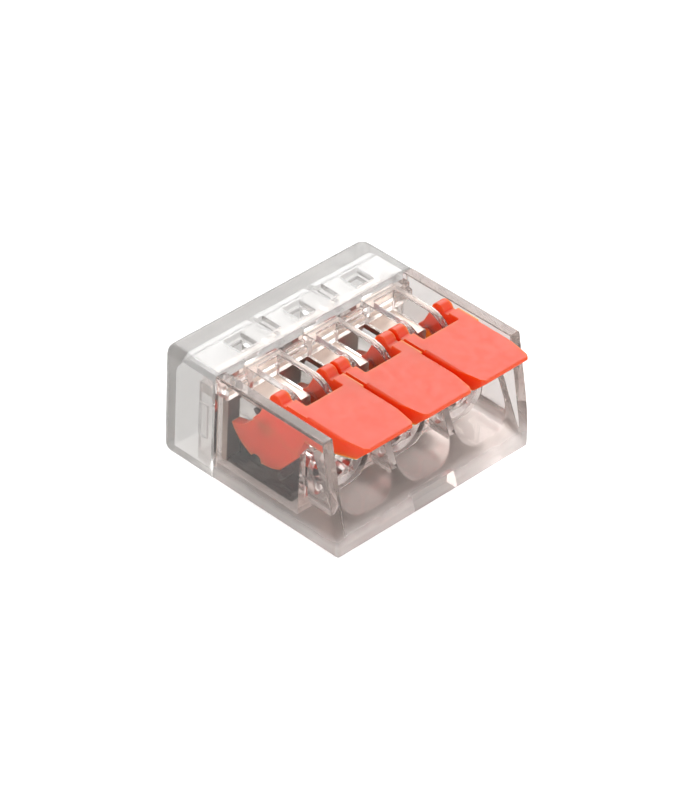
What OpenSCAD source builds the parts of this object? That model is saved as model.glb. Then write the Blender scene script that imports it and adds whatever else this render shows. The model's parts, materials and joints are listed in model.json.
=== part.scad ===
// Three-pole lever wire connector: a clear moulded housing with a snap-on rear cap, a tinned
// copper bar with one contact tongue per pole, three steel clamping springs and three levers.
// Each spring is two pieces here: the leg that lies on the floor, and the leg that swings.
// Lengths are in millimetres. Outlines are drawn with y measured backwards from the front of
// the housing, and in_frame() then centres the whole connector on the origin.

/* [Case] */
// Distance between the centres of neighbouring poles
pitch = 5.5; // [5.4:0.05:6.4]
// Height of the side walls of the housing
wall_h = 8.65; // [8.6:0.05:9.3]
// Thickness of the side walls
wall_t = 0.95; // [0.6:0.05:1.2]
// Thickness of the floor
floor_t = 1.4; // [1.2:0.05:1.5]
// How far the front edges of the side walls lean back, in degrees
wall_lean = 12; // [6:1:18]
// Rounding of the long outer edges
edge_r = 0.6; // [0.2:0.05:0.7]
// Rounding of the upright corners
corner_r = 0.9; // [0.5:0.1:1.1]
// Width of the recess in the front of the floor
recess_w = 4; // [3:0.1:4.5]
// Height of the recess
recess_h = 1.2; // [0.8:0.05:1.3]
// Depth of the recess
recess_d = 1; // [0.6:0.1:1.4]
// Distance from the cap to the front of the shoulders between the guides
shoulder_l = 0.9; // [0.7:0.05:1.2]
// How far the shoulders lie below the tops of the guides
shoulder_drop = 0.9; // [0.6:0.05:1]
// How far the bar behind the guides lies below their tops
bar_drop = 0.45; // [0.2:0.05:0.6]

/* [Rear cap] */
// Depth of the cap
cap_d = 4.9; // [4.6:0.1:6]
// Thickness of the walls of the cap
cap_t = 0.8; // [0.7:0.05:1]
// Thickness of its rear wall
back_t = 1.1; // [0.8:0.05:1.5]
// Rounding of the upper rear corner inside the cap
cavity_r = 1.2; // [0.6:0.1:1.6]
// How far the cap stands out over the housing
cap_proud = 0.15; // [0.1:0.05:0.3]
// Clearance between the cap and the spigot inside it
cap_fit = 0.05; // [0.03:0.01:0.1]
// Length of the spigot
spigot_l = 1.7; // [1.4:0.1:2]
// Thickness of the side walls of the spigot
spigot_t = 0.7; // [0.5:0.05:0.8]
// Thickness of the top wall of the spigot
spigot_roof = 0.65; // [0.5:0.05:0.7]
// Height of the snap bumps on the sides of the spigot
snap_h = 0.2; // [0.15:0.01:0.25]
// Length of the snap bumps, front to back
snap_l = 0.6; // [0.4:0.05:0.7]
// Width of the snap bumps, bottom to top
snap_w = 2.5; // [1.5:0.1:3.5]
// Distance of the snap bumps from the rear edge of the spigot
snap_end = 0.3; // [0.2:0.05:0.5]
// Width of the square test holes
test_w = 1.6; // [1.3:0.05:1.9]
// Distance of the test holes from the front edge of the cap
test_at = 0.75; // [0.6:0.05:1]
// Depth of the sunk rim of the test holes
test_sink = 0.45; // [0.3:0.05:0.6]
// Width of the sunk rim
test_rim = 0.2; // [0.1:0.05:0.3]
// Width of the slots sunk into the top of the cap between the poles
slot_w = 0.85; // [0.6:0.05:1]
// Length of the slots, front to back
slot_l = 1.7; // [1.4:0.05:1.9]
// Depth of the slots
slot_d = 0.4; // [0.2:0.05:0.5]
// Distance of the slots from the front edge of the cap
slot_at = 0.95; // [0.8:0.05:1.1]
// Thickness of the ribs between the poles
rib_t = 0.6; // [0.4:0.05:1]

/* [Wire entries] */
// Wall left between two neighbouring insulation pockets
entry_wall = 0.65; // [0.5:0.05:1.1]
// Height of the pocket floor above the table
entry_z = 2.1; // [2:0.05:2.3]
// Corner radius of the pockets
entry_r = 1.7; // [1.2:0.05:1.9]
// Thickness of the roof over the pockets
roof_t = 0.45; // [0.35:0.05:0.6]
// Depth at which the pockets end
entry_d = 3.6; // [3.2:0.05:3.7]
// Depth of the block that holds the pockets
block_d = 4.2; // [4.1:0.05:4.4]
// Depth at which the nose of the conductor bore ends
nose_d = 5.3; // [5.1:0.05:5.4]
// Wall of the nose above and below the bore
nose_t = 0.45; // [0.35:0.05:0.5]
// Radius of the conductor bore
bore_r = 1.5; // [1.3:0.05:1.55]
// Widening of the bore's mouth
funnel_r = 0.5; // [0.3:0.05:0.6]
// Length of the widened mouth
funnel_l = 0.4; // [0.3:0.05:0.6]
// How far the front of the block leans back, in degrees
block_lean = 25; // [18:1:27]

/* [Levers] */
// Gap between neighbouring levers, and between the outer levers and the walls
lever_gap = 0.25; // [0.15:0.05:0.4]
// Thickness of the cheeks on both sides of a lever
cheek_t = 0.95; // [0.8:0.05:1]
// Gap between a cheek and the guide inside it
cheek_gap = 0.1; // [0.08:0.01:0.15]
// Thickness of the handle
handle_t = 1.45; // [1.3:0.05:1.5]
// Thickness of the front edge of the handle
tip_t = 0.5; // [0.3:0.05:0.8]
// Width of the straight front edge of the handle
tip_w = 3.2; // [2.4:0.1:3.8]
// How far the handle stands out in front of the housing
overhang = 0.65; // [0.5:0.05:2]
// Rounding of the long edges of the handle
handle_r = 0.25; // [0.1:0.05:0.5]
// Radius of the knuckles behind the handle
knuckle_r = 0.6; // [0.5:0.05:0.7]
// How far the knuckles stand out over the handle
knuckle_h = 0.2; // [0.1:0.05:0.3]
// Depth of the grooves between the handle and the knuckles
groove_d = 0.22; // [0.15:0.01:0.3]
// How far the cam half of a cheek is sunk into its outer face
cheek_step = 0.15; // [0.1:0.01:0.2]
// Depth of the pivot axis behind the front
pivot_y = 7.9; // [7.85:0.05:8.3]
// Distance of the pivot axis below the top of the side walls
pivot_drop = 2.45; // [2.35:0.05:2.55]
// Radius of the pivot pins
pin_r = 0.6; // [0.45:0.05:0.7]
// Radial clearance of the pivot pins
pin_gap = 0.05; // [0.03:0.01:0.08]
// Length of the pivot pins
pin_l = 0.6; // [0.4:0.05:0.7]
// Radius of the hub around the pivot
hub_r = 1; // [0.9:0.05:1.1]
// Wall beside the pocket in a guide
guide_t = 0.6; // [0.5:0.05:1]
// Wall behind the pocket in a guide
guide_back = 1; // [0.8:0.05:1.6]
// Distance of the upper rear edge of a guide from the cap
guide_end = 0.3; // [0.2:0.05:0.5]
// How far a lever opens, in degrees
open_angle = 85; // [75:1:88]

/* [Contacts] */
// Thickness of the copper bar
copper_t = 0.8; // [0.6:0.05:0.85]
// Distance of the contact face under the tongues below the top of the side walls
contact_drop = 2.55; // [2.55:0.05:2.7]
// How far the top of the copper bar reaches into the cap
bar_l = 2; // [1.9:0.1:3]
// Length of the contact tongues
tongue_l = 3.6; // [3.4:0.05:3.7]
// Thickness of the spring steel
steel_t = 0.3; // [0.2:0.02:0.34]
// Width of the springs where they lie on the floor
base_w = 4.6; // [3.6:0.1:4.8]
// Radius of the centre line of the spring bow
bow_r = 0.35; // [0.3:0.01:0.38]
// Depth of the centre of the bow
bow_y = 5.6; // [5.5:0.05:5.8]
// Rise of a clamping leg that is not pushed down, in degrees
leg_angle = 38; // [36:1:40]
// How far an open lever pushes a clamping leg down, in degrees
leg_swing = 29; // [26:1:29]
// Distance of the side tabs from the bow, along the clamping leg
tab_at = 1.3; // [1.2:0.05:1.45]
// Length of the side tabs along the clamping leg
tab_l = 0.5; // [0.4:0.05:0.6]
// How far the side tabs are bent up from the clamping leg
tab_rise = 0.3; // [0.2:0.05:0.35]
// Clearance between the side tabs and the cams of the lever
cam_gap = 0.1; // [0.08:0.01:0.2]

/* [Hidden] */
$fn = 64;
// overlap that lets cuts run clear of the faces they open
eps = 0.02;
clear_plastic = [0.86, 0.88, 0.88, 0.45];
orange = [0.98, 0.38, 0.24];
tinned = [0.62, 0.6, 0.58];
steel = [0.55, 0.56, 0.58];

// levers, guides and what runs between them
lever_w = pitch - lever_gap;
guide_w = lever_w - 2 * (cheek_t + cheek_gap);
flank_t = 0.35;
leg_gap = 0.05;
leg_w = guide_w - 2 * (flank_t + leg_gap);
handle_proud = 0.05;
handle_top = wall_h + handle_proud;
handle_under = handle_top - handle_t;
rest_gap = 0.1;
roof_z = handle_under - rest_gap;
guide_top = wall_h - handle_proud;
pivot_z = wall_h - pivot_drop;
contact_z = wall_h - contact_drop;

// outer widths, and the clear width between the side walls
inner_w = 2 * pitch + lever_w + 2 * lever_gap;
body_w = inner_w + 2 * wall_t;
cap_w = body_w + 2 * cap_proud;
cap_h = wall_h + cap_proud;

// clamping leg, seen from the side
bow_z = floor_t + steel_t / 2 + bow_r;
bar_gap = 0.1;
leg_l = (contact_z - 2 * bar_gap - bow_z - bow_r * cos(leg_angle)) / sin(leg_angle);
tab_w = lever_w - 3 * bar_gap;

// The side tab's upper rear corner when the lever stands at angle t
function leg_at(t) = leg_angle - leg_swing * t / open_angle;
function tab_corner(t) = let(a = leg_at(t), s = tab_at + tab_l / 2, n = bow_r + steel_t / 2 + tab_rise)
    [bow_y + s * cos(a) - n * sin(a) - pivot_y, bow_z + s * sin(a) + n * cos(a) - pivot_z];
// The cam's edge that meets the corner there, in the lever's own closed position
function cam_radius(t) = norm(tab_corner(t)) - cam_gap;
function cam_angle(t) = atan2(tab_corner(t)[1], tab_corner(t)[0]) + t;
function cam_point(t) = cam_radius(t) * [cos(cam_angle(t)), sin(cam_angle(t))];
cam_steps = 16;

// depths, from the front of the housing backwards
cam_room = 0.2;
plate_y = pivot_y + cam_radius(open_angle) + cam_room;
cap_y = plate_y + copper_t / 2;
case_d = cap_y + cap_d;
conductor_stop = case_d - back_t;
bar_back = cap_y + bar_l;
window_z = contact_z - tongue_l;
bore_z = contact_z - 2 * bar_gap - bore_r;
shoulder_y = cap_y - shoulder_l;
back_bar = 0.6;

// the lever, measured forwards from its pivot
arm_front = 3.8;
arm_back = 1.5;
handle_back = guide_top - pivot_z + bar_gap / 2;

// the toe of the front block, and the corner cut off its heel
toe_z = 0.9;
toe_y = toe_z * tan(wall_lean);
heel_l = 0.7;
heel_h = 0.85;

// the bar along the bottom of a guide
tie_z = bore_z + bore_r + 0.05;
tie_t = 0.5;

function pole_x(i) = (i - 2) * pitch;

module in_frame() translate([0, (overhang - case_d) / 2, 0]) children();

// Extrudes an outline drawn in (y, z) across the connector, centred on x = 0
module across(w) rotate([90, 0, 90]) translate([0, 0, -w / 2]) linear_extrude(w) children();

// Extrudes an outline drawn in (x, z) from y0 back to y1
module along(y0, y1) translate([0, y1, 0]) rotate([90, 0, 0]) linear_extrude(y1 - y0) children();

module block(x0, x1, y0, y1, z0, z1) translate([x0, y0, z0]) cube([x1 - x0, y1 - y0, z1 - z0]);

// A centred block of width w
module slab(w, y0, y1, z0, z1) block(-w / 2, w / 2, y0, y1, z0, z1);

// A pin or bore along x, from x0 to x1
module pin(r, x0, x1, y, z) translate([x0, y, z]) rotate([0, 90, 0]) cylinder(h = x1 - x0, r = r);

// Rectangle from a to b with its corners rounded: r holds the radii of the corners at
// low u and v, high u and low v, high u and v, low u and high v
module rounded(a, b, r) {
    difference() {
        translate(a) square(b - a);
        for (k = [0:3]) if (r[k] > 0) {
            su = (k == 1 || k == 2) ? 1 : -1;
            sv = (k >= 2) ? 1 : -1;
            corner = [su > 0 ? b[0] : a[0], sv > 0 ? b[1] : a[1]];
            translate(corner - r[k] * [su, sv]) difference() {
                translate([su > 0 ? 0 : -r[k] - eps, sv > 0 ? 0 : -r[k] - eps]) square(r[k] + eps);
                circle(r[k]);
            }
        }
    }
}

// ---- housing ----

// Side view of the whole housing in front of the cap
module wall_profile() {
    difference() {
        rounded([0, 0], [cap_y, wall_h], [edge_r, 0, 0, 0]);
        rotate(90 - wall_lean) translate([-1, 0]) square([3 * wall_h, wall_h]);
    }
}

// Side view of the front block, whose rear top corner leaves room for the cheeks
module block_profile() {
    polygon([[0, 0], [toe_y, toe_z], [toe_y + (roof_z - toe_z) * tan(block_lean), roof_z],
        [block_d - heel_l, roof_z], [block_d, roof_z - heel_h], [block_d, 0]]);
}

// Top view of the housing
module body_plan() rounded([-body_w / 2, 0], [body_w / 2, cap_y], [corner_r, corner_r, 0, 0]);

// Front view of the housing
module body_outline() rounded([-body_w / 2, 0], [body_w / 2, wall_h], [edge_r, edge_r, 0.2, 0.2]);

module insulation_pocket() {
    w = (pitch - entry_wall) / 2;
    along(-1, entry_d) rounded([-w, entry_z], [w, roof_z - roof_t], entry_r * [1, 1, 1, 1]);
}

module conductor_bore() {
    translate([0, entry_d - eps, bore_z]) rotate([-90, 0, 0])
        cylinder(h = funnel_l, r1 = bore_r + funnel_r, r2 = bore_r);
    translate([0, entry_d, bore_z]) rotate([-90, 0, 0]) cylinder(h = nose_d, r = bore_r);
}

// The nose gives way to the clamping leg and its bow below it
module nose() {
    room_r = bow_r + steel_t / 2 + bar_gap;
    difference() {
        slab(guide_w, block_d - eps, nose_d, bore_z - bore_r - nose_t, bore_z + bore_r + nose_t);
        pin(room_r, -guide_w, guide_w, bow_y, bow_z);
        translate([0, bow_y, bow_z]) rotate([leg_angle, 0, 0]) slab(2 * guide_w, 0, leg_l, 0, room_r);
    }
}

// Side view of a guide: its front is round about the pivot, and a bar ties it to the nose
module guide_profile() {
    under = contact_z + copper_t;
    front = plate_y - tongue_l - bar_gap;
    r = guide_top - pivot_z;
    difference() {
        union() {
            translate([pivot_y, pivot_z]) circle(r);
            translate([pivot_y, pivot_z]) square([cap_y - pivot_y, r]);
            translate([block_d + 2 * bar_gap, tie_z]) square([pivot_y - block_d - 2 * bar_gap, tie_t]);
        }
        square([cap_y + 1, tie_z]);
        translate([front, 0]) square([cap_y, under]);
        translate([cap_y - guide_end, guide_top - bar_drop]) square([2 * guide_end, wall_h]);
    }
}

// Two ribs with a pocket between them, and the plates and pins that carry the lever
module guide() {
    difference() {
        across(guide_w) guide_profile();
        slab(guide_w - 2 * guide_t, 0, cap_y - guide_back, bore_z, wall_h + 1);
    }
    for (s = [-1, 1]) scale([s, 1, 1]) {
        flank = guide_w / 2 - flank_t;
        pin(hub_r, flank, guide_w / 2, pivot_y, pivot_z);
        pin(pin_r, flank, guide_w / 2 + pin_l, pivot_y, pivot_z);
    }
}

module spigot() {
    w = cap_w - 2 * (cap_t + cap_fit);
    z0 = cap_t + cap_fit;
    z1 = cap_h - cap_t - cap_fit;
    difference() {
        slab(w, cap_y - 1, cap_y + spigot_l, z0, z1);
        slab(w - 2 * spigot_t, cap_y - 2, cap_y + spigot_l + 1, floor_t, z1 - spigot_roof);
        slab(w + 1, cap_y + spigot_roof, cap_y + spigot_l + 1, z1 - spigot_roof, z1 + 1);
        slab(inner_w, cap_y - 2, cap_y, 0, z1 + 1);
    }
    for (s = [-1, 1]) scale([s, 1, 1]) snap_bump(w / 2 - eps, w / 2 + snap_h, 0);
}

// A snap bump from x0 to x1, or with a gap around it the recess that takes the bump
module snap_bump(x0, x1, gap) {
    back = cap_y + spigot_l - snap_end;
    block(x0, x1, back - snap_l - gap, back + gap, (cap_h - snap_w) / 2 - gap, (cap_h + snap_w) / 2 + gap);
}

module front_recess() slab(recess_w, -1, recess_d, floor_t - recess_h, floor_t);

module housing() color(clear_plastic) in_frame() {
    difference() {
        intersection() {
            across(body_w) wall_profile();
            along(0, cap_y) body_outline();
            linear_extrude(wall_h) body_plan();
        }
        // the space over the front block, and the chamber of the levers behind it
        difference() {
            slab(inner_w, -1, cap_y + 1, floor_t, wall_h + 1);
            across(inner_w + 1) block_profile();
        }
        across(inner_w) difference() {
            translate([-1, -1]) square([block_d, wall_h]);
            block_profile();
        }
        for (i = [1:3]) translate([pole_x(i), 0, 0]) {
            insulation_pocket();
            conductor_bore();
        }
        front_recess();
    }
    for (i = [1:3]) translate([pole_x(i), 0, 0]) {
        difference() {
            nose();
            conductor_bore();
        }
        guide();
    }
    // the shoulders between the guides, and the bar that ties everything to the side walls
    slab(inner_w + eps, cap_y - back_bar, cap_y, contact_z + copper_t, guide_top - bar_drop);
    intersection() {
        slab(inner_w + eps, shoulder_y, cap_y, contact_z + copper_t, guide_top - shoulder_drop);
        for (i = [0:3]) translate([(i - 1.5) * pitch, 0, 0])
            slab(pitch - guide_w + eps, 0, cap_y, 0, wall_h);
    }
    spigot();
}

// ---- rear cap ----

module cap_shell() {
    intersection() {
        linear_extrude(cap_h)
            rounded([-cap_w / 2, cap_y], [cap_w / 2, case_d], [0, 0, corner_r, corner_r]);
        along(cap_y, case_d) rounded([-cap_w / 2, 0], [cap_w / 2, cap_h], edge_r * [1, 1, 1, 1]);
        across(cap_w) rounded([cap_y, 0], [case_d, cap_h], [0, edge_r, edge_r, 0]);
    }
}

module cap_cavity() {
    across(cap_w - 2 * cap_t)
        rounded([cap_y - 1, cap_t], [conductor_stop, cap_h - cap_t], [0, 0, cavity_r, 0]);
    for (s = [-1, 1]) scale([s, 1, 1])
        snap_bump(0, cap_w / 2 - cap_t - cap_fit + snap_h + bar_gap, bar_gap);
}

// A rib between two poles, notched for the copper bar
module cap_rib() {
    difference() {
        slab(rib_t, cap_y + spigot_roof + bar_gap, conductor_stop + eps, cap_t - eps, cap_h - cap_t + eps);
        slab(2 * rib_t, 0, bar_back + bar_gap, contact_z - bar_gap, contact_z + copper_t + bar_gap);
        slab(2 * rib_t, 0, cap_y + spigot_l + bar_gap, 0, floor_t + bar_gap);
    }
}

module test_hole() {
    y0 = cap_y + test_at;
    slab(test_w, y0, y0 + test_w, cap_h - test_sink, cap_h + 1);
    slab(test_w - 2 * test_rim, y0 + test_rim, y0 + test_w - test_rim, cap_h - 2 * cap_t, cap_h);
}

module cap_slot() {
    y0 = cap_y + slot_at;
    slab(slot_w, y0, y0 + slot_l, cap_h - slot_d, cap_h + 1);
}

module rear_cap() color(clear_plastic) in_frame() {
    difference() {
        cap_shell();
        cap_cavity();
        for (i = [1:3]) translate([pole_x(i), 0, 0]) test_hole();
        for (s = [-1, 1]) translate([s * pitch / 2, 0, 0]) cap_slot();
    }
    for (s = [-1, 1]) translate([s * pitch / 2, 0, 0]) cap_rib();
}

// ---- contacts ----

module busbar() color(tinned) in_frame() {
    w = cap_w - 2 * (cap_t + cap_fit + spigot_t + bar_gap / 2);
    top = contact_z + copper_t;
    difference() {
        across(w) difference() {
            rounded([plate_y, floor_t], [bar_back, top], [0, 0, 0, copper_t / 2]);
            translate([plate_y + copper_t, 0]) square([bar_back, contact_z]);
        }
        for (i = [1:3]) translate([pole_x(i), 0, 0])
            slab(leg_w + 2 * bar_gap, 0, cap_y + 1, window_z, contact_z);
    }
    for (i = [1:3]) translate([pole_x(i), 0, 0])
        along(plate_y - tongue_l, plate_y + copper_t / 2)
            rounded([-leg_w / 2, contact_z], [leg_w / 2, top], copper_t / 8 * [1, 1, 1, 1]);
}

// The leg on the floor, hooked into the window of the copper bar, and the bow in front of it
module clamp_spring() {
    hook_y = plate_y - steel_t;
    hook_end = plate_y + copper_t + 2 * bar_gap;
    slab(base_w, bow_y, plate_y, floor_t, floor_t + steel_t);
    across(leg_w) polygon([[hook_y, floor_t], [plate_y, floor_t], [plate_y, window_z],
        [hook_end, window_z], [hook_end, window_z + steel_t], [hook_y, window_z + steel_t]]);
    across(base_w) translate([bow_y, bow_z]) intersection() {
        difference() {
            circle(bow_r + steel_t / 2);
            circle(bow_r - steel_t / 2);
        }
        polygon([[0, 0], [0, -2], [-2, -2], [-2, 2], 2 * [-sin(leg_angle + 3), cos(leg_angle + 3)]]);
    }
}

// The leg that presses the conductor against the tongue, with the tabs the cams push down
module clamp_leg() {
    translate([0, bow_y, bow_z]) rotate([leg_angle, 0, 0]) {
        slab(leg_w, 0, leg_l, bow_r - steel_t / 2, bow_r + steel_t / 2);
        slab(tab_w, tab_at - tab_l / 2, tab_at + tab_l / 2, bow_r - steel_t / 2, bow_r + steel_t / 2);
        for (s = [-1, 1]) scale([s, 1, 1])
            block(guide_w / 2, tab_w / 2, tab_at - tab_l / 2, tab_at + tab_l / 2, bow_r,
                bow_r + steel_t / 2 + tab_rise);
    }
}

// ---- levers ----

// Side view of the handle: thick at the back, with a thin lip in front
module handle_profile() {
    r = 0.2;
    difference() {
        rounded([-overhang, handle_under], [pivot_y - arm_back, handle_top], [0, 0, 0, r]);
        polygon([[-overhang - 1, handle_under - 1], [-overhang - 1, handle_top - tip_t],
            [-overhang, handle_top - tip_t], [1.9, handle_under], [1.9, handle_under - 1]]);
    }
}

// Top view of the handle
module handle_plan() {
    w = lever_w / 2;
    half = [[tip_w / 2, -overhang], [w - 0.42, -overhang + 0.35], [w, 1.9], [w, pivot_y]];
    polygon(concat(half, [for (k = [3:-1:0]) [-half[k][0], half[k][1]]]));
}

module handle() {
    mid_w = lever_w - 2 * cheek_t;
    back = pivot_y - handle_back;
    difference() {
        intersection() {
            across(lever_w) handle_profile();
            linear_extrude(2 * wall_h) handle_plan();
            along(-overhang, pivot_y) rounded([-lever_w / 2, 0], [lever_w / 2, handle_top],
                [0, 0, handle_r, handle_r]);
        }
        // the arms beside the guide, and the clear space over the front of the guide
        slab(mid_w, back, pivot_y, 0, 2 * wall_h);
        across(mid_w) polygon([[back - 0.6, handle_under - 1], [back - 0.6, handle_under],
            [back + eps, handle_under + 0.5], [pivot_y, handle_under - 1]]);
    }
}

// Side view of a cheek about the pivot: the lower edge is the cam, with a detent notch in it
module cheek_profile() {
    arm_top = handle_top - pivot_z;
    under = handle_under - pivot_z;
    knuckle = [-0.55, arm_top + knuckle_h - knuckle_r];
    detent = cam_point(open_angle * 0.42);
    difference() {
        union() {
            polygon(concat([for (i = [cam_steps:-1:0]) cam_point(open_angle * i / cam_steps)],
                [[-0.8 * arm_front, -0.8], [-arm_front, under], [-arm_front, arm_top - groove_d],
                [knuckle[0], arm_top - groove_d], [-0.1, arm_top - 0.45], [0.75, 0.35], [2.1, -0.9]]));
            translate([0.4 - arm_front, under]) square([arm_front - arm_back - 0.4, handle_t]);
            translate(knuckle) circle(knuckle_r);
            circle(hub_r);
        }
        translate(detent * 1.04) circle(0.5);
    }
}

// Side view of the sunk half of a cheek's outer face, below a step that curves round the hub
module cheek_sink() {
    polygon([[4, 0.3], [-1.1, 0.3], [-1.4, 0.2], [-1.9, -0.25], [-2.2, -0.33], [-5, -0.33],
        [-5, -5], [4, -5]]);
}

module lever() {
    inside = lever_w / 2 - cheek_t;
    handle();
    for (s = [-1, 1]) scale([s, 1, 1]) difference() {
        translate([lever_w / 2 - cheek_t / 2, pivot_y, pivot_z]) across(cheek_t) cheek_profile();
        translate([lever_w / 2, pivot_y, pivot_z]) across(2 * cheek_step) cheek_sink();
        pin(pin_r + pin_gap, inside - 1, inside + pin_l, pivot_y, pivot_z);
    }
}

module clamp_spring_1() color(steel) in_frame() translate([pole_x(1), 0, 0]) clamp_spring();
module clamp_spring_2() color(steel) in_frame() translate([pole_x(2), 0, 0]) clamp_spring();
module clamp_spring_3() color(steel) in_frame() translate([pole_x(3), 0, 0]) clamp_spring();
module clamp_leg_1() color(steel) in_frame() translate([pole_x(1), 0, 0]) clamp_leg();
module clamp_leg_2() color(steel) in_frame() translate([pole_x(2), 0, 0]) clamp_leg();
module clamp_leg_3() color(steel) in_frame() translate([pole_x(3), 0, 0]) clamp_leg();
module lever_1() color(orange) in_frame() translate([pole_x(1), 0, 0]) lever();
module lever_2() color(orange) in_frame() translate([pole_x(2), 0, 0]) lever();
module lever_3() color(orange) in_frame() translate([pole_x(3), 0, 0]) lever();

housing();
rear_cap();
busbar();
clamp_spring_1();
clamp_spring_2();
clamp_spring_3();
clamp_leg_1();
clamp_leg_2();
clamp_leg_3();
lever_1();
lever_2();
lever_3();
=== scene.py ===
"""Looks of the three-pole lever wire connector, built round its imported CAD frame.

Objects, lamps and materials are in metres, in the frame of the CAD: x across the poles, y from
the wire entries back to the cap, z up. Meshes are shaped in millimetres and then scaled.
"""

import json
import math

import bmesh
import bpy
from mathutils import Matrix, Quaternion, Vector
from mathutils.bvhtree import BVHTree


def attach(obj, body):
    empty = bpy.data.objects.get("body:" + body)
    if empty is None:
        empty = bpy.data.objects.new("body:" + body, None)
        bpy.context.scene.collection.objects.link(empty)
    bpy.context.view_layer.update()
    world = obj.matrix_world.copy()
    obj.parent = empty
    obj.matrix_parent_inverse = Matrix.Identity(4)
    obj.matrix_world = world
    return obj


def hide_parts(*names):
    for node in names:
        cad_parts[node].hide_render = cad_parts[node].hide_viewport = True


MM = 0.001
POLES = (1, 2, 3)

# ---- sizes of the finer forms, in millimetres ----

# half the air gap between parts that touch
SEAM = 0.008
# radius of the cap's upper and lower edges, and of its upright corners
CAP_EDGE = 0.8
CAP_CORNER = 0.9
# length of a lever's tip, and the CAD's thickness at its front edge and at its rear
TIP_LENGTH = 2.55
TIP_THIN = 0.5
TIP_THICK = 1.45
# thickness of the lip at the front edge, and length and final thickness of the steep slant
LIP_THICK = 0.22
SLANT_LENGTH = 0.9
SLANT_THICK = 1.15
# half width of the front edge, and the same in the CAD
TIP_WIDE = 1.9
TIP_PLAIN = 1.6
# length of the CAD's cut corners, and half width of the tip behind them
CORNER_LENGTH = 0.35
CORNER_WIDE = 2.18
# slack for finding the points of the tip
NEAR = 0.01

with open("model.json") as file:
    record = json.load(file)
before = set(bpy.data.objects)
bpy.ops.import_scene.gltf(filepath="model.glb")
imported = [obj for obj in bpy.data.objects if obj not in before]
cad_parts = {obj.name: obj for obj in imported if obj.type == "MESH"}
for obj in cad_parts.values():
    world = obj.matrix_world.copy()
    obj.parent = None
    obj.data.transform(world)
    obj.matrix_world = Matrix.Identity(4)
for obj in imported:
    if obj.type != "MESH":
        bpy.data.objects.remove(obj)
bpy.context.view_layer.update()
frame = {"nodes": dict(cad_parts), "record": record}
nodes = frame["nodes"]


# ---- nodes of materials and of the surround ----


class Nodes:
    """The node tree of a material or world, and short calls to wire it."""

    def __init__(self, owner):
        owner.use_nodes = True
        self.tree = owner.node_tree
        self.tree.nodes.clear()

    def add(self, kind, **settings):
        """A new node with some of its settings."""
        node = self.tree.nodes.new(kind)
        for key, value in settings.items():
            setattr(node, key, value)
        return node

    def link(self, source, target):
        self.tree.links.new(source, target)

    def scaled_sum(self, value, factor, base):
        """value * factor + base, where base is a number or another node's output."""
        node = self.add("ShaderNodeMath", operation="MULTIPLY_ADD")
        self.link(value, node.inputs[0])
        node.inputs[1].default_value = factor
        if isinstance(base, float):
            node.inputs[2].default_value = base
        else:
            self.link(base, node.inputs[2])
        return node.outputs["Value"]

    def mixed_shader(self, share, first, second):
        """The first shader where share is 0, and the second where it is 1."""
        node = self.add("ShaderNodeMixShader")
        self.link(share, node.inputs["Fac"])
        self.link(first, node.inputs[1])
        self.link(second, node.inputs[2])
        return node.outputs["Shader"]

    def seen_share(self):
        """1 for camera, mirror and glass rays, and 0 for the rays that light matt surfaces."""
        path = self.add("ShaderNodeLightPath")
        total = path.outputs["Is Camera Ray"]
        for name in ("Is Glossy Ray", "Is Transmission Ray"):
            most = self.add("ShaderNodeMath", operation="MAXIMUM")
            self.link(total, most.inputs[0])
            self.link(path.outputs[name], most.inputs[1])
            total = most.outputs["Value"]
        return total


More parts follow.
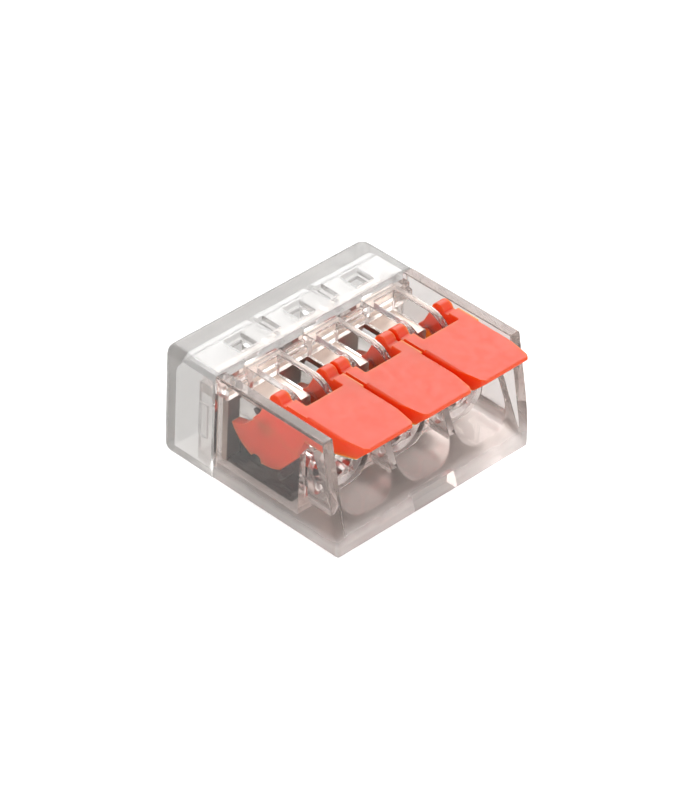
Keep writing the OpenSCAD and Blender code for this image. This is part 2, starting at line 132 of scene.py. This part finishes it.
class Look(Nodes):
    """A material, with the noise, colours and bump of its surface."""

    def __init__(self, name):
        self.material = bpy.data.materials.new(name)
        super().__init__(self.material)
        self.output = self.add("ShaderNodeOutputMaterial")
        self.coords = self.add("ShaderNodeTexCoord")

    def shader(self, **values):
        """A Principled shader with constants on its own sockets."""
        node = self.add("ShaderNodeBsdfPrincipled")
        for key, value in values.items():
            node.inputs[key.replace("_", " ")].default_value = value
        self.link(node.outputs["BSDF"], self.output.inputs["Surface"])
        return node

    def noise(self, size, detail=3.0, stretch=(1, 1, 1)):
        """Noise whose features are about size metres across."""
        mapping = self.add("ShaderNodeMapping")
        mapping.inputs["Scale"].default_value = [s / size for s in stretch]
        self.link(self.coords.outputs["Object"], mapping.inputs["Vector"])
        node = self.add("ShaderNodeTexNoise")
        node.inputs["Scale"].default_value = 1.0
        node.inputs["Detail"].default_value = detail
        self.link(mapping.outputs["Vector"], node.inputs["Vector"])
        return node.outputs["Fac"]

    def spread(self, value, low, high, start=0.35, end=0.65):
        """Turns values from start to end, such as noise, into a range of numbers."""
        node = self.add("ShaderNodeMapRange")
        node.inputs["From Min"].default_value = start
        node.inputs["From Max"].default_value = end
        node.inputs["To Min"].default_value = low
        node.inputs["To Max"].default_value = high
        self.link(value, node.inputs["Value"])
        return node.outputs["Result"]

    def mix(self, value, first, second):
        """A colour between two colours."""
        node = self.add("ShaderNodeMix", data_type="RGBA")
        self.link(value, node.inputs["Factor"])
        for name, colour in (("A", first), ("B", second)):
            socket = next(i for i in node.inputs if i.name == name and i.type == "RGBA")
            socket.default_value = (*colour, 1)
        return next(o for o in node.outputs if o.type == "RGBA")

    def bump(self, height, depth, shader):
        """Bump of depth metres on a shader."""
        node = self.add("ShaderNodeBump")
        node.inputs["Strength"].default_value = 1.0
        node.inputs["Distance"].default_value = depth
        self.link(height, node.inputs["Height"])
        self.link(node.outputs["Normal"], shader.inputs["Normal"])

    def bottom_band(self):
        """1 along the bottom of the part, fading to 0 at an uneven line above it."""
        place = self.add("ShaderNodeSeparateXYZ")
        self.link(self.coords.outputs["Object"], place.inputs["Vector"])
        height = self.scaled_sum(self.noise(1.5 * MM), 0.5 * MM, place.outputs["Z"])
        return self.spread(height, 1.0, 0.0, start=1.2 * MM, end=2.3 * MM)

    def absorb(self, colour, per_mm=0.08):
        """Takes up more light the thicker the material is."""
        inside = self.add("ShaderNodeVolumeAbsorption")
        inside.inputs["Color"].default_value = (*colour, 1)
        inside.inputs["Density"].default_value = per_mm / MM
        self.link(inside.outputs["Volume"], self.output.inputs["Volume"])

    def pass_lamps(self, shader):
        """Lets lamps shine through clear walls onto what is behind them."""
        path = self.add("ShaderNodeLightPath")
        through = self.add("ShaderNodeBsdfTransparent")
        through.inputs["Color"].default_value = (0.975, 0.965, 0.96, 1)
        both = self.mixed_shader(path.outputs["Is Shadow Ray"], shader.outputs["BSDF"],
                                 through.outputs["BSDF"])
        self.link(both, self.output.inputs["Surface"])


def clear_look(name, colour, clarity, roughness, mirror, depth_tint, matt_band=0.0):
    """Moulded polycarbonate: slight waves from the mould, a fine haze, darker the thicker it is.

    Roughness is its lowest and highest value, mirror is the strength of reflections, and
    matt_band is how much clarity is lost along the bottom, which is rougher as well.
    """
    look = Look(name)
    shader = look.shader(IOR=1.58, Transmission_Weight=clarity)
    shader.inputs["Specular Tint"].default_value = (mirror, mirror, mirror, 1)
    tint = look.mix(look.noise(3.0 * MM, 2.0), colour, tuple(0.96 * c for c in colour))
    look.link(tint, shader.inputs["Base Color"])
    dullness = look.spread(look.noise(1.2 * MM), *roughness)
    if matt_band:
        band = look.bottom_band()
        clearness = look.spread(band, clarity, clarity - matt_band, start=0.0, end=1.0)
        look.link(clearness, shader.inputs["Transmission Weight"])
        dullness = look.scaled_sum(band, 0.4 * matt_band, dullness)
    look.link(dullness, shader.inputs["Roughness"])
    look.bump(look.noise(2.2 * MM, 1.0), 0.012 * MM, shader)
    look.absorb(depth_tint)
    look.pass_lamps(shader)
    return look.material


def lever_look():
    """Dyed plastic: fine grain, cloudy colour, and light that glows through its thin walls."""
    look = Look("orange_plastic")
    shader = look.shader(IOR=1.5, Specular_IOR_Level=0.42, Subsurface_Weight=1.0,
                         Subsurface_Scale=3.0 * MM)
    shader.inputs["Subsurface Radius"].default_value = (1.0, 0.45, 0.2)
    tint = look.mix(look.noise(1.5 * MM, 4.0), (0.95, 0.075, 0.012), (0.91, 0.065, 0.01))
    look.link(tint, shader.inputs["Base Color"])
    look.link(look.spread(look.noise(0.5 * MM), 0.34, 0.46), shader.inputs["Roughness"])
    look.bump(look.noise(0.09 * MM, 2.0), 0.0022 * MM, shader)
    return look.material


def metal_look(name, colour, dark, roughness, grain):
    """Strip metal: drawn lines along its length and patches of duller plating."""
    look = Look(name)
    shader = look.shader(Metallic=1.0)
    lines = look.noise(0.05 * MM, 2.0, stretch=grain)
    look.link(look.mix(look.noise(1.4 * MM, 4.0), colour, dark), shader.inputs["Base Color"])
    look.link(look.spread(lines, roughness, roughness + 0.14), shader.inputs["Roughness"])
    look.bump(lines, 0.003 * MM, shader)
    return look.material


# ---- shapes, in millimetres ----


def cad_mesh(node, together=0.002):
    """A CAD part as an editable mesh, in which points within together of each other are one."""
    mesh = bmesh.new()
    mesh.from_mesh(nodes[node].data)
    bmesh.ops.scale(mesh, vec=(1 / MM, 1 / MM, 1 / MM), verts=mesh.verts)
    bmesh.ops.remove_doubles(mesh, verts=mesh.verts, dist=together)
    mesh.normal_update()
    return mesh


def draw_in(mesh, gap, alike=0.01, furthest=2.5):
    """Moves every face inwards by gap, and keeps flat faces flat.

    Normals that differ by less than alike count as one. No point moves more than furthest gaps.
    """
    moves = []
    for vert in mesh.verts:
        normals = []
        for face in vert.link_faces:
            if all((face.normal - other).length > alike for other in normals):
                normals.append(face.normal.copy())
        # the least move that takes each of the faces inwards by gap, which needs a matrix that
        # can be inverted even where all the faces lie in one plane
        planes = Matrix.Identity(3) * 0.001
        for normal in normals:
            planes = planes + Matrix([normal * c for c in normal])
        move = planes.inverted() @ (sum(normals, Vector()) * -gap)
        moves.append((vert, move * min(1.0, furthest * gap / max(move.length, gap))))
    for vert, move in moves:
        vert.co += move


def cut(mesh, place, normal):
    """Adds edges where a plane crosses the mesh."""
    everything = mesh.verts[:] + mesh.edges[:] + mesh.faces[:]
    bmesh.ops.bisect_plane(mesh, geom=everything, dist=1e-5, plane_co=place, plane_no=normal)


def soften_box(mesh, radius, corner, steps=7):
    """Ball corners and round upper and lower edges on a box that is open at the front."""
    low = [min(vert.co[k] for vert in mesh.verts) for k in range(3)]
    high = [max(vert.co[k] for vert in mesh.verts) for k in range(3)]
    for step in range(steps):
        inset = radius * (1 - math.sin(step / steps * math.pi / 2))
        for k, place in ((0, low[0] + inset), (0, high[0] - inset), (1, high[1] - inset),
                         (2, low[2] + inset), (2, high[2] - inset)):
            axis = Vector([float(k == n) for n in range(3)])
            cut(mesh, axis * place, axis)
    middle = (low[0] + high[0]) / 2
    for vert in mesh.verts:
        out, inset = way_out(vert.co, middle, high[0] - middle, high[1], corner)
        up = vert.co.z - min(max(vert.co.z, low[2] + radius), high[2] - radius)
        length = math.hypot(radius - inset, up)
        if inset < radius and up and length > radius:
            spare = 1 - radius / length
            vert.co -= out * (radius - inset) * spare
            vert.co.z -= up * spare


def way_out(place, middle, half, back, corner):
    """The outward way in plan from a place in a box, and how far inside the outline it lies."""
    side = math.copysign(1.0, place.x - middle)
    across = (place.x - middle) * side - (half - corner)
    behind = place.y - (back - corner)
    if across > 0 and behind > 0:
        return Vector((side * across, behind, 0)).normalized(), corner - math.hypot(across, behind)
    if across > behind:
        return Vector((side, 0, 0)), corner - across
    return Vector((0, 1, 0)), corner - behind


def ramp(start, end, way, length):
    """A measure that goes from start to end over a length."""
    return start + (end - start) * way / length


def wedge_thickness(way):
    """Thickness of a lever's tip at a way behind its front edge."""
    if way < SLANT_LENGTH:
        return ramp(LIP_THICK, SLANT_THICK, way, SLANT_LENGTH)
    return ramp(SLANT_THICK, TIP_THICK, way - SLANT_LENGTH, TIP_LENGTH - SLANT_LENGTH)


def wedge_tip(mesh):
    """Gives the tip of a lever its thin lip, the steep slant under it and its wide front edge."""
    front = min(vert.co.y for vert in mesh.verts)
    middle = (min(vert.co.x for vert in mesh.verts) + max(vert.co.x for vert in mesh.verts)) / 2
    top = max(vert.co.z for vert in mesh.verts if vert.co.y < front + SLANT_LENGTH)
    cut(mesh, Vector((0, front + SLANT_LENGTH, 0)), Vector((0, 1, 0)))
    for vert in mesh.verts:
        way = vert.co.y - front
        if way > TIP_LENGTH + NEAR:
            continue
        plain = ramp(TIP_THIN, TIP_THICK, way, TIP_LENGTH)
        if top - vert.co.z < plain + 2 * NEAR:
            vert.co.z = top - (top - vert.co.z) * wedge_thickness(way) / plain
        if way < CORNER_LENGTH:
            wide = ramp(TIP_WIDE, CORNER_WIDE, way, CORNER_LENGTH)
            wide /= ramp(TIP_PLAIN, CORNER_WIDE, way, CORNER_LENGTH)
            vert.co.x = middle + (vert.co.x - middle) * wide


def bevelled(mesh, rounding, segments, chosen):
    """A copy of the mesh with the chosen edges rounded to a width of rounding."""
    data = bpy.data.meshes.new("round")
    mesh.to_mesh(data)
    weights = data.attributes.new("bevel_weight_edge", "FLOAT", "EDGE")
    for edge in chosen:
        weights.data[edge.index].value = 1.0
    piece = bpy.data.objects.new("round", data)
    bpy.context.scene.collection.objects.link(piece)
    bevel = piece.modifiers.new("round", "BEVEL")
    bevel.width = rounding
    bevel.segments = segments
    bevel.limit_method = "WEIGHT"
    bevel.miter_outer = "MITER_ARC"
    bevel.use_clamp_overlap = False
    bevel.loop_slide = False
    seen = piece.evaluated_get(bpy.context.evaluated_depsgraph_get())
    result = bpy.data.meshes.new_from_object(seen)
    bpy.data.objects.remove(piece)
    return result


def strays(data, surface, rounding, face_share=0.55, point_share=0.6):
    """Places where a rounded mesh leaves the surface that it came from, or turns inside out.

    The middle of a face may lie face_share of the rounding from it, and a point point_share.
    """
    mesh = bmesh.new()
    mesh.from_mesh(data)
    bmesh.ops.triangulate(mesh, faces=mesh.faces)
    mesh.normal_update()
    places = []
    for face in mesh.faces:
        centre = face.calc_center_median()
        _, normal, _, distance = surface.find_nearest(centre)
        # a face that has almost no area has no sure direction
        turned = face.calc_area() > 1e-6 and normal.dot(face.normal) < -0.2
        if turned or distance > face_share * rounding:
            places.append(centre)
    for vert in mesh.verts:
        if surface.find_nearest(vert.co)[3] > point_share * rounding:
            places.append(vert.co.copy())
    mesh.free()
    return places


def with_round_edges(mesh, rounding, segments, angle, tries=8):
    """Rounds the sharp edges of a mesh, except where there is no room for it."""
    surface = BVHTree.FromBMesh(mesh)
    limit = math.radians(angle)
    chosen = [edge for edge in mesh.edges
              if len(edge.link_faces) == 2 and edge.calc_face_angle(0) > limit]
    for _ in range(tries):
        result = bevelled(mesh, rounding, segments, chosen)
        places = strays(result, surface, rounding)
        if not places:
            break
        left_out = set()
        # the edges nearest to each fault stay sharp, and so do those within reach of its rounding
        for place in places:
            reach = [(distance_to_edge(place, edge), edge) for edge in chosen]
            nearest = min(distance for distance, _ in reach)
            left_out.update(edge.index for distance, edge in reach
                            if distance < max(1.05 * nearest + 1e-4, 1.3 * rounding))
        chosen = [edge for edge in chosen if edge.index not in left_out]
    return result


def distance_to_edge(place, edge):
    """Distance from a place to the nearest point of an edge."""
    start, end = (vert.co for vert in edge.verts)
    along = end - start
    share = (place - start).dot(along) / max(along.length_squared, 1e-9)
    return (start + along * min(1.0, max(0.0, share)) - place).length


def blend_normals(data, limit=0.64):
    """Large faces keep their own normals, and the rounding turns from one to the next.

    Only faces whose normals have a dot product over limit are blended.
    """
    around = [[] for _ in data.vertices]
    faces = [(face.normal.copy(), face.area, tuple(face.vertices)) for face in data.polygons]
    for normal, area, corners in faces:
        for corner in corners:
            around[corner].append((normal, area))
    blended = []
    for normal, _, corners in faces:
        for corner in corners:
            near = [other * area for other, area in around[corner] if other.dot(normal) > limit]
            blended.append(sum(near, normal * 1e-6).normalized())
    data.normals_split_custom_set(blended)


def refined(node, name, look, rounding, gap=0.0, segments=3, angle=28, flat=0.5, shape=None):
    """A CAD part with its sharp edges rounded, drawn in by gap, which stands for its node.

    Shape is a call that gives the part its finer form first. Edges over angle degrees are
    rounded in that many segments, and those under flat degrees are dissolved.
    """
    mesh = cad_mesh(node)
    if shape:
        shape(mesh)
    if gap:
        draw_in(mesh, gap)
    bmesh.ops.dissolve_limit(mesh, angle_limit=math.radians(flat), verts=mesh.verts,
                             edges=mesh.edges)
    mesh.normal_update()
    data = with_round_edges(mesh, rounding, segments, angle)
    mesh.free()
    for face in data.polygons:
        face.use_smooth = True
    blend_normals(data)
    data.name = name
    data.transform(Matrix.Scale(MM, 4))
    data.materials.append(look)
    piece = bpy.data.objects.new(name, data)
    bpy.context.scene.collection.objects.link(piece)
    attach(piece, node_body(node))
    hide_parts(node)


def node_body(node):
    """The body that holds a CAD node."""
    bodies = frame["record"]["behaviour"]["bodies"]
    return next(body for body, members in bodies.items() if node in members)


# ---- the connector ----


def connector():
    """Stands a refined part in for each CAD node."""
    clear_housing = clear_look("clear_housing", colour=(0.925, 0.9, 0.885), clarity=0.98,
                               roughness=(0.03, 0.07), mirror=0.45,
                               depth_tint=(0.75, 0.62, 0.56), matt_band=0.42)
    clear_cap = clear_look("clear_cap", colour=(0.93, 0.925, 0.92), clarity=0.86,
                           roughness=(0.08, 0.2), mirror=0.65, depth_tint=(0.45, 0.42, 0.38))
    orange = lever_look()
    tinned = metal_look("tinned_copper", colour=(0.68, 0.6, 0.55), dark=(0.5, 0.42, 0.37),
                        roughness=0.28, grain=(0.05, 1, 1))
    # painted shade: the spring steel's colours are far darker than bare steel, so that the springs
    # stand in for the shade inside the housing
    steel = metal_look("spring_steel", colour=(0.1, 0.087, 0.081), dark=(0.065, 0.057, 0.052),
                       roughness=0.22, grain=(1, 0.05, 1))

    refined("housing", "housing_moulding", clear_housing, rounding=0.08, gap=SEAM)
    refined("rear_cap", "cap_moulding", clear_cap, rounding=0.12, gap=SEAM,
            shape=lambda mesh: soften_box(mesh, CAP_EDGE, CAP_CORNER))
    refined("busbar", "busbar_strip", tinned, rounding=0.06, gap=SEAM)
    for pole in POLES:
        refined(f"clamp_spring_{pole}", f"spring_{pole}_bow", steel, rounding=0.04, gap=SEAM)
        refined(f"clamp_leg_{pole}", f"spring_{pole}_leg", steel, rounding=0.04)
        refined(f"lever_{pole}", f"lever_{pole}_moulding", orange, rounding=0.08, shape=wedge_tip)


# ---- studio ----


def studio():
    """A pale floor, a white surround, and soft lamps behind, on the left and in front."""
    scene = bpy.context.scene
    scene.view_settings.view_transform = "Standard"
    # light runs a long way inside the clear walls before it comes out
    scene.cycles.max_bounces = 40
    scene.cycles.glossy_bounces = 40
    scene.cycles.transmission_bounces = 40
    scene.cycles.transparent_max_bounces = 24
    surround()
    floor()
    lamp("key", place=(0.16, 0.17, 0.19), size=0.26, watts=0.5)
    lamp("fill", place=(-0.24, -0.07, 0.08), size=0.16, watts=0.14)
    lamp("front", place=(0.08, -0.22, 0.1), size=0.16, watts=0.12)


def surround():
    """A surround that looks white, and lights matt surfaces at a lower level."""
    world = bpy.data.worlds.new("surround")
    bpy.context.scene.world = world
    tree = Nodes(world)
    lit = tree.add("ShaderNodeBackground")
    lit.inputs["Color"].default_value = (1.0, 0.99, 0.98, 1)
    lit.inputs["Strength"].default_value = 0.62
    shown = tree.add("ShaderNodeBackground")
    shown.inputs["Color"].default_value = (1, 1, 1, 1)
    shown.inputs["Strength"].default_value = 1.0
    both = tree.mixed_shader(tree.seen_share(), lit.outputs["Background"],
                             shown.outputs["Background"])
    output = tree.add("ShaderNodeOutputWorld")
    tree.link(both, output.inputs["Surface"])


def floor():
    """A matt disc just under the part."""
    mesh = bmesh.new()
    bmesh.ops.create_circle(mesh, cap_ends=True, segments=96, radius=1.2)
    data = bpy.data.meshes.new("floor")
    mesh.to_mesh(data)
    mesh.free()
    piece = bpy.data.objects.new("floor", data)
    bpy.context.scene.collection.objects.link(piece)
    piece.location.z = -0.02 * MM
    data.materials.append(floor_look())


def floor_look(camera_glow=0.6, mirror_glow=0.1):
    """Pale and matt, with a glow that makes it white to the camera.

    Little of the glow is seen in metal and clear plastic, and it lights nothing matt.
    """
    look = Look("pale_floor")
    matt = look.add("ShaderNodeBsdfDiffuse")
    matt.inputs["Color"].default_value = (0.82, 0.82, 0.82, 1)
    path = look.add("ShaderNodeLightPath")
    more = look.scaled_sum(path.outputs["Is Camera Ray"], camera_glow - mirror_glow, 0.0)
    glow = look.add("ShaderNodeEmission")
    look.link(look.scaled_sum(look.seen_share(), mirror_glow, more), glow.inputs["Strength"])
    both = look.add("ShaderNodeAddShader")
    look.link(matt.outputs["BSDF"], both.inputs[0])
    look.link(glow.outputs["Emission"], both.inputs[1])
    look.link(both.outputs["Shader"], look.output.inputs["Surface"])
    return look.material


def lamp(name, place, size, watts, target=(0.0, 0.0, 0.004)):
    """A round soft lamp that points at the part."""
    data = bpy.data.lights.new(name, "AREA")
    data.shape = "DISK"
    data.size = size
    data.energy = watts
    piece = bpy.data.objects.new(name, data)
    piece.location = place
    piece.rotation_euler = (Vector(target) - Vector(place)).to_track_quat("-Z", "Y").to_euler()
    bpy.context.scene.collection.objects.link(piece)


def camera():
    """The viewpoint of the photograph: a long lens, from the front left and above."""
    azimuth = math.radians(-47.2)
    elevation = math.radians(36.65)
    roll = math.radians(2.91)
    distance = 298.93 * MM
    look_at = Vector((0.0, -0.019, 4.0)) * MM
    level = math.cos(elevation)
    back = Vector((math.sin(azimuth) * level, -math.cos(azimuth) * level, math.sin(elevation)))
    data = bpy.data.cameras.new("camera")
    # lens and sensor are in millimetres, and the shifts are shares of the picture's height
    data.sensor_width = 36.0
    data.lens = 201.51
    data.shift_x = -0.004025
    data.shift_y = 0.002175
    piece = bpy.data.objects.new("camera", data)
    piece.location = look_at + distance * back
    turn = (-back).to_track_quat("-Z", "Y") @ Quaternion((0.0, 0.0, 1.0), roll)
    piece.rotation_euler = turn.to_euler()
    bpy.context.scene.collection.objects.link(piece)
    bpy.context.scene.camera = piece


connector()
studio()
camera()
